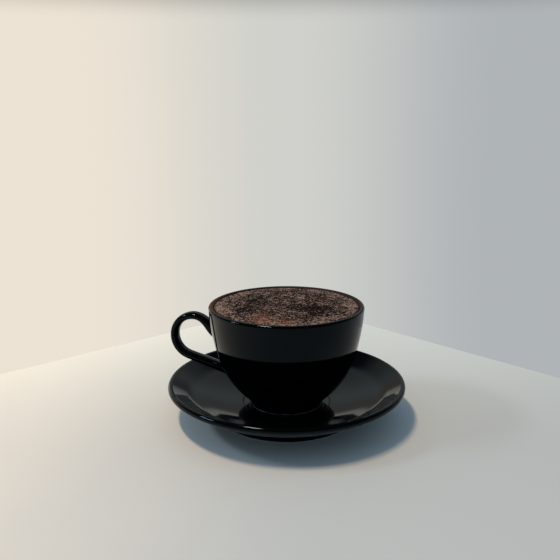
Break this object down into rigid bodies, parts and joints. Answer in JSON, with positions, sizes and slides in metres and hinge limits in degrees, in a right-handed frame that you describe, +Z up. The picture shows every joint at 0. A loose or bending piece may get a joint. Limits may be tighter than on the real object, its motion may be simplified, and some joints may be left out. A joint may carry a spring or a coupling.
{
  "type": "latte in a cup on its saucer",
  "caption": "Black glazed cup with a looped handle on its round saucer, filled to the rim with a latte whose foam is dusted with cocoa.",
  "frame": {"origin": "centre of the saucer's foot ring, in the plane that it stands on", "axes": "+Z up along the axis of the cup and saucer; the handle points along -X"},
  "size_m": [0.1543, 0.15, 0.0731],
  "materials": {
    "cup_glaze": "glossy",
    "foam": "matt foam with cocoa",
    "saucer_glaze": "glossy"
  },
  "bodies": {
    "root": {"cup": "cup_glaze", "latte": "foam", "saucer": "saucer_glaze"}
  },
  "joints": []
}
